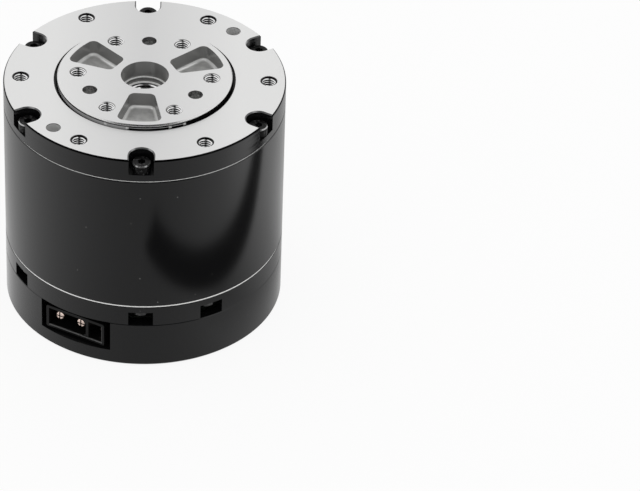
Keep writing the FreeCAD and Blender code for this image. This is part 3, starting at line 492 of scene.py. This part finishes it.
def end_ring_aluminium():
    """The end ring: pale machined face and bores, with a black side and black screw notches, painted shade in
    its gap and countersinks, and painted glints on the notch chamfers.
    """
    finish = Finish("end_ring_aluminium", PALE)
    roughness = machined(finish, depth=0.03)
    radius, height = finish.radius(), finish.z
    lowered = height.below(FRONT_FACE - FACE_DEPTH)
    outside = radius.above(BODY_RADIUS - EDGE_CHAMFER, SEAM_BLEND)
    edge_line = outside * lowered * height.above(FRONT_FACE - EDGE_LINE, EDGE_LINE_BLEND)
    spigot = height.below(SEAM_ABOVE - SPIGOT_DEPTH)
    # Painted highlight: at the seam the ring's foot is left pale metal instead of black
    bare_seam_highlight = height.near(SEAM_ABOVE, NARROW_SEAM, SEAM_BLEND) * outside
    countersink_shade = (height.above(FRONT_FACE - COUNTERSINK) * radius.above(THREADS_INSIDE)
                   * radius.below(THREADS_OUTSIDE))

    across = radius * sector(finish, NOTCH_COUNT, NOTCH_AZIMUTH).math("SINE")
    in_notch = across.below(NOTCH_HALF_WIDTH) * radius.above(NOTCH_INNER_REACH)
    notch_rim = in_notch * lowered * height.above(FRONT_FACE - NOTCH_CHAMFER) * (1 - outside)
    # Painted glints on the notch chamfers, grey all round and brighter to each side
    glint = notch_rim * (across.near(GLINT_ACROSS, GLINT_HALF_WIDTH, GLINT_BLEND) + GLINT_LEAST)

    side = outside.math("MAXIMUM", in_notch) * (1 - spigot) * (1 - bare_seam_highlight)
    # Black: the ring's side and notches, and painted shade in the gap and countersinks
    black = (side + radius.below(GAP_OUTSIDE) + countersink_shade).math("MINIMUM", 1.0) * lowered
    in_hole = lowered * (1 - black)
    colour = finish.mix(glint, finish.mix(black, pale_face(finish), BLACK), NOTCH_GLINT)
    roughness = (roughness - BORED_SMOOTHER * in_hole) * (1 - black) + BLACK_SIDE_ROUGHNESS * black
    finish.vary(Base_Color=colour, Metallic=1 - black - HOLE_METAL_LOSS * in_hole + edge_line,
                Roughness=roughness)
    return finish.material


def plain_steel(name, colour, roughness, spread=0.08):
    """Plain steel or bright metal, with a little grain."""
    finish = Finish(name, colour, Metallic=1.0)
    grain = finish.noise(cells=2.0, detail=3.0)
    finish.vary(Base_Color=finish.mix(grain, toned(colour, STEEL_DARKER), colour),
                Roughness=roughness + spread * grain)
    finish.bump(grain, distance=0.003)
    return finish.material


def black_oxide(name, shine):
    """Blackened screws, with wear here and there, and the rims of the front ones painted bright metal so that
    they catch glints.
    """
    finish = Finish(name, OXIDE_PLAIN, Specular_IOR_Level=shine)
    grain = finish.noise(cells=4.0, detail=3.0)
    wear_and_highlight = finish.noise(cells=1.6).above(WORN_MIDDLE, WORN_SPREAD)
    radius = finish.radius()
    nearer = 2 * SCREW_CIRCLE * radius * sector(finish, NOTCH_COUNT, NOTCH_AZIMUTH).math("COSINE")
    from_axis = (radius * radius + SCREW_CIRCLE ** 2 - nearer).math("SQRT")
    # Painted glint: a bright metal band round the rims of the front screw heads
    rim_glint = (finish.z.above(SCREW_HEAD_TOP - SCREW_RIM_DEPTH, SCREW_RIM_DEPTH_BLEND)
           * from_axis.near(SCREW_RIM_RADIUS, SCREW_RIM_HALF_WIDTH, SCREW_RIM_BLEND))
    colour = finish.mix(rim_glint, finish.mix(wear_and_highlight, OXIDE, OXIDE_WORN), SCREW_RIM_GLINT)
    finish.vary(Base_Color=colour, Metallic=rim_glint, Roughness=OXIDE_ROUGHNESS + OXIDE_GRAIN * grain)
    finish.bump(grain, distance=0.003)
    return finish.material


def moulded(name, colour, roughness, shine=0.5, wear_and_highlight=None):
    """Moulded plastic or rubber with a fine texture, and a lighter painted highlight where the given mask is
    1.
    """
    finish = Finish(name, colour, Specular_IOR_Level=shine)
    grain = finish.noise(cells=6.0)
    shade = finish.mix(grain, colour, toned(colour, PLASTIC_LIGHTER))
    if wear_and_highlight:
        # Painted highlight where the mask is 1
        shade = finish.mix(wear_and_highlight(finish), shade, SOCKET_HIGHLIGHT)
    finish.vary(Base_Color=shade, Roughness=roughness + MOULDED_GRAIN * grain)
    finish.bump(grain, distance=0.006)
    return finish.material


def mouth_highlight(finish):
    """1 along the lower and right inner edges of the socket's mouth, where a highlight is painted."""
    sine, cosine = math.sin(SOCKET_AZIMUTH), math.cos(SOCKET_AZIMUTH)
    out = finish.x * cosine + finish.y * sine
    across = finish.y * cosine - finish.x * sine
    height = finish.z
    lower = (height.near(SOCKET_LOW - HIGHLIGHT_DROP, HIGHLIGHT_HALF_WIDTH, HIGHLIGHT_BLEND)
             * across.above(SOCKET_LEFT, HIGHLIGHT_END_BLEND)
             * across.below(SOCKET_RIGHT + HIGHLIGHT_END, HIGHLIGHT_END_BLEND))
    right = (across.near(SOCKET_RIGHT, HIGHLIGHT_HALF_WIDTH, HIGHLIGHT_BLEND)
             * height.above(SOCKET_LOW) * height.below(SOCKET_HIGH))
    return out.above(SOCKET_FACE - MOUTH_DEPTH, MOUTH_BLEND) * lower.math("MAXIMUM", HIGHLIGHT_RIGHT_SHARE * right)


def laminations():
    """Stacked electrical sheet: thin lines around its side."""
    finish = Finish("stacked_sheet_steel", SHEET_PLAIN, Metallic=1.0)
    line = (finish.z / SHEET_PITCH).math("FRACT").below(SHEET_LINE_SHARE, SHEET_LINE_BLEND)
    finish.vary(Base_Color=finish.mix(line, SHEET_STEEL, SHEET_LINE),
                Roughness=SHEET_ROUGHNESS + SHEET_LINES * line)
    finish.bump(1 - line, distance=0.02)
    return finish.material


def wound_copper():
    """Enamelled wire, seen as fine rows of round turns, with painted shade in the grooves between them."""
    finish = Finish("enamelled_copper", COPPER_PLAIN, Metallic=1.0)
    from_middle = 2 * (finish.radius() / WIRE_PITCH).math("FRACT") - 1
    crown = 1 - from_middle * from_middle
    finish.vary(Base_Color=finish.mix(crown, COPPER_GROOVE_SHADE, COPPER_CROWN),
                Roughness=COPPER_ROUGHNESS - COPPER_SMOOTHER * crown)
    finish.bump(crown, distance=0.12)
    return finish.material


def circuit_board():
    """Black solder mask with fine copper tracks below it."""
    finish = Finish("board_solder_mask", MASK_PLAIN)
    edges = finish.node("ShaderNodeTexVoronoi", {"feature": "DISTANCE_TO_EDGE"}, Vector=finish.place,
                        Scale=TRACK_CELLS)["Distance"]
    track = edges.near(TRACK_PLACE, TRACK_HALF_WIDTH, TRACK_BLEND)
    finish.vary(Base_Color=finish.mix(track, MASK, MASK_TRACK),
                Roughness=MASK_ROUGHNESS + MASK_TRACKS * track)
    finish.bump(track, distance=0.03)
    return finish.material


def gold_plate():
    """Gold plated contacts, with a little grain."""
    finish = Finish("gold_plated_contact", GOLD_PLAIN, Metallic=1.0)
    grain = finish.noise(cells=3.0)
    finish.vary(Base_Color=finish.mix(grain, GOLD, GOLD_LIGHT),
                Roughness=GOLD_ROUGHNESS + GOLD_GRAIN * grain)
    finish.bump(grain, distance=0.004)
    return finish.material


def thread_steel(name, colour, shade_above=None):
    """Bright thread flanks, with painted shade: a dark mouth above a height."""
    finish = Finish(name, colour, Metallic=1.0)
    grain = finish.noise(cells=4.0, detail=3.0)
    shade = finish.mix(grain, toned(colour, THREAD_DARKER), colour)
    if shade_above:
        # Painted shade in the thread's mouth
        shade = finish.mix(finish.z.above(shade_above, DARK_MOUTH_BLEND), shade, BLACK)
    finish.vary(Base_Color=shade, Roughness=THREAD_ROUGHNESS + THREAD_GRAIN * grain)
    return finish.material


def dress(material, *names):
    """Give CAD nodes a finish."""
    for name in names:
        slots = NODES[name].material_slots
        if not slots:
            NODES[name].data.materials.append(material)
        for slot in slots:
            slot.material = material


def dress_housing():
    both_seams = [(SEAM_BELOW, BROAD_SEAM), (SEAM_ABOVE, NARROW_SEAM)]
    dress(black_anodised("black_anodised_tube", both_seams), "motor_housing")
    dress(black_anodised("black_anodised_rear", both_seams[:1]), "rear_housing")
    dress(black_anodised("black_anodised_cover"), "rear_cover")
    dress(end_ring_aluminium(), "front_housing")
    dress(flange_aluminium(), "output_flange")
    dress(black_oxide("black_oxide_steel", shine=0.12), "front_screws")
    dress(black_oxide("oiled_oxide_steel", shine=0.9), "rear_screws", "cover_screws")
    dress(moulded("black_socket_plastic", SOCKET_BLACK, roughness=0.28, shine=0.25, wear_and_highlight=mouth_highlight),
          "socket_shell")
    dress(gold_plate(), "socket_power_pins", "socket_signal_pins")
    # The retaining ring is painted near black, as painted shade in the gap
    dress(plain_steel("shaded_spring_steel", SPRING_STEEL_SHADED, roughness=0.40), "retaining_ring")
    dress(moulded("seal_rubber", RUBBER, roughness=0.55), "output_seal")


def dress_inside():
    dress(circuit_board(), "driver_board")
    dress(moulded("black_chip_plastic", CHIP_BLACK, roughness=0.5), "encoder_chip", "processor_chip",
          "power_transistors")
    dress(plain_steel("drawn_can", CAN, roughness=0.25), "bus_capacitors")
    dress(laminations(), "stator_core")
    dress(wound_copper(), "stator_windings", "phase_leads")
    dress(plain_steel("nickel_plate", NICKEL, roughness=0.20), "rotor_magnets", "encoder_magnet")
    dress(plain_steel("turned_steel", TURNED_STEEL, roughness=0.30), "rotor_bearing_spacer",
          "bearing_preload_ring", "grease_shield", "rotor_bell")
    dress(plain_steel("ground_bearing_steel", GROUND_STEEL, roughness=0.12), "rotor_bearing_outer_races",
          "rotor_bearing_inner_races", "rotor_bearing_balls", "output_bearing_outer_race",
          "output_bearing_inner_race", "output_bearing_balls")
    dress(moulded("cage_nylon", NYLON, roughness=0.45), "output_bearing_cage")
    planets = [f"planet_gear_{stage}_{number}" for stage in (1, 2) for number in (1, 2, 3)]
    dress(plain_steel("oiled_gear_steel", GEAR_STEEL, roughness=0.24, spread=0.12), "rotor_shaft",
          "ring_gear", "sun_gear_1", "sun_gear_2", "stage1_carrier", "stage1_pins",
          "stage2_carrier_plate", "stage2_pins", *planets)


def thread_radius(phase, thread):
    """The bore's radius at a phase of one pitch: a flat crest, a slope, a root and a slope back."""
    depth = thread.root - thread.crest
    slope = 0.5 - THREAD_FLAT
    phase %= 1.0
    if phase < THREAD_FLAT:
        return thread.crest
    if phase < 0.5:
        return thread.crest + depth * (phase - THREAD_FLAT) / slope
    if phase < 0.5 + THREAD_FLAT:
        return thread.root
    return thread.root - depth * (phase - 0.5 - THREAD_FLAT) / slope


def sleeve_column(mesh, centre, bottom, top, thread, phases, share):
    """The points of a sleeve at one share of a turn: up its threaded bore, then down its outside."""
    across = Vector((math.cos(FULL_TURN * share), math.sin(FULL_TURN * share), 0))
    cone_slope = (thread.outside - thread.crest) / LEAD_IN_HEIGHT

    def point(radius, height):
        return mesh.verts.new((centre + across * radius + Vector((0, 0, height))) * MM)

    column = []
    for phase in phases:
        height = min(max(bottom + thread.pitch * (phase + share), bottom), top)
        lead_in = thread.outside - LEAD_IN_WALL - (top - height) * cone_slope
        bore = thread_radius((height - bottom) / thread.pitch - share, thread)
        column.append(point(max(bore, lead_in), height))
    return column + [point(thread.outside, top), point(thread.outside, bottom)]


def add_threaded_sleeve(mesh, centre, bottom, top, thread):
    """One sleeve with a helical internal thread and a lead-in cone, added to a bmesh.

    The last column joins the first one pitch further up. The faces at the thread's root take the
    second material.
    """
    turns = math.ceil((top - bottom) / thread.pitch) + 1
    phases = [step / THREAD_STEPS for step in range(-THREAD_STEPS, turns * THREAD_STEPS)]
    columns = [sleeve_column(mesh, centre, bottom, top, thread, phases, number / thread.columns)
               for number in range(thread.columns)]
    last = len(phases) - 1
    for number, here in enumerate(columns):
        beside = columns[(number + 1) % thread.columns]
        shift = THREAD_STEPS if number == thread.columns - 1 else 0
        for row in range(len(here)):
            after = (row + 1) % len(here)
            level, level_after = (min(index + shift, last) if 0 < index <= last else index
                                  for index in (row, after))
            corners = []
            for corner in (here[row], beside[level], beside[level_after], here[after]):
                if corner not in corners:
                    corners.append(corner)
            if len(corners) > 2:
                at_root = row < last and row % THREAD_STEPS in THREAD_ROOT_STEPS
                mesh.faces.new(corners).material_index = 1 if at_root else 0


def thread_circle(circle, first_angle, bottom, top):
    """A circle of M3 threaded sleeves in one bmesh."""
    mesh = bmesh.new()
    for number in range(THREAD_COUNT):
        turn = FULL_TURN * number / THREAD_COUNT + first_angle
        centre = Vector((math.cos(turn), math.sin(turn), 0)) * circle
        add_threaded_sleeve(mesh, centre, bottom, top, M3_THREAD)
    return mesh


def finish_piece(name, mesh, materials, body, replaced):
    """Turn a bmesh into a piece that rides on a body in place of a CAD node."""
    bmesh.ops.remove_doubles(mesh, verts=mesh.verts, dist=MERGE_DISTANCE)
    bmesh.ops.dissolve_degenerate(mesh, dist=DISSOLVE_DISTANCE, edges=mesh.edges)
    bmesh.ops.recalc_face_normals(mesh, faces=mesh.faces)
    data = bpy.data.meshes.new(name)
    mesh.to_mesh(data)
    mesh.free()
    for material in materials:
        data.materials.append(material)
    piece = bpy.data.objects.new(name, data)
    bpy.context.scene.collection.objects.link(piece)
    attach(piece, body)
    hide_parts(replaced)


def make_threads():
    # Painted shade: the thread roots take a dark material
    root = thread_steel("thread_root_shade", THREAD_ROOT_SHADE)
    bottom, top = (corner.z for corner in size_of("housing_thread_inserts"))
    flanks = thread_steel("ring_thread_wire", THREAD_BRIGHT, shade_above=top - LEAD_IN_HEIGHT)
    mesh = thread_circle(RING_THREAD_CIRCLE, 0.0, bottom, top)
    finish_piece("ring_threads", mesh, (flanks, root), "housing", "housing_thread_inserts")

    bottom, top = (corner.z for corner in size_of("flange_thread_inserts"))
    flanks = thread_steel("flange_thread_wire", THREAD_BRIGHT)
    mesh = thread_circle(FLANGE_THREAD_CIRCLE, FLANGE_REST_ANGLE, bottom, top)
    finish_piece("flange_threads", mesh, (flanks, root), "output", "flange_thread_inserts")

    bottom, top = (corner.z for corner in size_of("centre_thread"))
    flanks = thread_steel("centre_thread_flanks", THREAD_BRIGHT, shade_above=top - LEAD_IN_HEIGHT / 2)
    mesh = bmesh.new()
    add_threaded_sleeve(mesh, Vector(), bottom, top, CENTRE_THREAD)
    finish_piece("flange_centre_thread", mesh, (flanks, root), "output", "centre_thread")


def make_camera():
    camera = bpy.data.objects.new("camera", bpy.data.cameras.new("camera"))
    bpy.context.scene.collection.objects.link(camera)
    camera.data.sensor_fit = "HORIZONTAL"
    camera.data.sensor_width = SENSOR_WIDTH
    camera.data.lens = FOCAL_PIXELS * SENSOR_WIDTH / IMAGE_WIDTH
    camera.data.clip_start = CAMERA_NEAREST
    camera.data.clip_end = CAMERA_FURTHEST
    turn = (Matrix.Rotation(-CAMERA_YAW, 4, "Z") @ Matrix.Rotation(math.pi / 2 - CAMERA_TILT, 4, "X")
            @ Matrix.Rotation(CAMERA_ROLL, 4, "Z"))
    camera.matrix_world = Matrix.Translation(CAMERA_PLACE) @ turn
    bpy.context.scene.camera = camera


def floor_glow(finish):
    """What polished surfaces see of the floor: brighter to the sides, less so close by on the right.

    A dark patch is painted on it, turned by 45 degrees, which polished surfaces show as a painted dark
    reflection.
    """
    x, y = finish.x, finish.y
    to_side = x * x / (x * x + y * y + AXIS_SOFTENING)
    beside = (x.above(RIGHT_SHADE_START, RIGHT_SHADE_BLEND) * y.above(RIGHT_SHADE_FRONT, RIGHT_FRONT_BLEND)
              * y.below(RIGHT_SHADE_BACK, RIGHT_BACK_BLEND))
    further = x.above(RIGHT_LIGHT_START, RIGHT_LIGHT_BLEND)
    fade = 1 - beside * (RIGHT_SHADE - RIGHT_LIGHT * further)
    glow = (FRONT_FLOOR_GLOW + SIDE_FLOOR_GLOW * to_side) * fade
    out = (x - y) * math.sqrt(0.5)
    along = (x + y) * math.sqrt(0.5)
    dark_patch = (out.above(DARK_PATCH_NEAR, DARK_PATCH_BLEND) * out.below(DARK_PATCH_FAR, DARK_PATCH_BLEND)
            * along.above(DARK_PATCH_START, DARK_PATCH_BLEND) * along.below(DARK_PATCH_END, DARK_PATCH_END_BLEND))
    return glow * (1 - dark_patch) + DARK_PATCH_GLOW * dark_patch


def make_floor():
    """A white floor, which shows the object's soft shadow, and to polished surfaces a painted dark patch as a
    dark reflection.
    """
    mesh = bpy.data.meshes.new("floor")
    corners = [(x * FLOOR_REACH, y * FLOOR_REACH, 0) for x, y in ((-1, -1), (1, -1), (1, 1), (-1, 1))]
    mesh.from_pydata(corners, [], [(0, 1, 2, 3)])
    floor = bpy.data.objects.new("floor", mesh)
    floor.location.z = -FLOOR_DROP
    bpy.context.scene.collection.objects.link(floor)
    finish = Finish("white_floor", grey(FLOOR_WHITE), Roughness=FLOOR_ROUGHNESS, Specular_IOR_Level=0.0)
    ray = finish.node("ShaderNodeLightPath")
    surface = Wire(finish, finish.shader.outputs["BSDF"])
    white = finish.node("ShaderNodeEmission")["Emission"]
    glow = finish.node("ShaderNodeEmission", None, Strength=floor_glow(finish))["Emission"]
    share = ray["Is Camera Ray"] * FLOOR_SHOWN_WHITE
    shown = finish.node("ShaderNodeMixShader", None, share, surface, white)["Shader"]
    whole = finish.node("ShaderNodeMixShader", None, ray["Is Glossy Ray"], shown, glow)["Shader"]
    finish.feed(finish.nodes["Material Output"].inputs["Surface"], whole)
    mesh.materials.append(finish.material)


def make_sky():
    """Soft studio light: an even glow, and for polished surfaces a dark gap overhead."""
    world = bpy.data.worlds.new("studio")
    bpy.context.scene.world = world
    tree = Tree(world)
    where = tree.node("ShaderNodeTexCoord")["Generated"]
    split = tree.node("ShaderNodeSeparateXYZ", None, where)
    x, y, z = split["X"], split["Y"], split["Z"]
    front = y.below(GAP_FRONT, GAP_FRONT_BLEND)
    half_width = GAP_HALF_WIDTH + (GAP_FRONT_HALF_WIDTH - GAP_HALF_WIDTH) * front
    side = (abs(x) - half_width).above(0.0, GAP_SIDE_BLEND)
    back = y.above(GAP_BACK, GAP_BACK_BLEND)
    low = z.below(GAP_LOWEST, GAP_LOWEST_BLEND)
    open_sky = side.math("MAXIMUM", back).math("MAXIMUM", low)
    mirrored = SKY_GAP + (SKY_BRIGHT - SKY_GAP) * open_sky
    ray = tree.node("ShaderNodeLightPath")
    glossy, seen = ray["Is Glossy Ray"], ray["Is Camera Ray"]
    level = mirrored * glossy + SKY_EVEN * (1 - glossy) * (1 - seen) + seen
    background = tree.nodes["Background"].inputs
    tree.feed(background["Color"], grey(1.0))
    tree.feed(background["Strength"], level)


make_camera()
make_floor()
make_sky()
dress_housing()
dress_inside()
make_threads()
bpy.context.scene.view_settings.view_transform = "Standard"
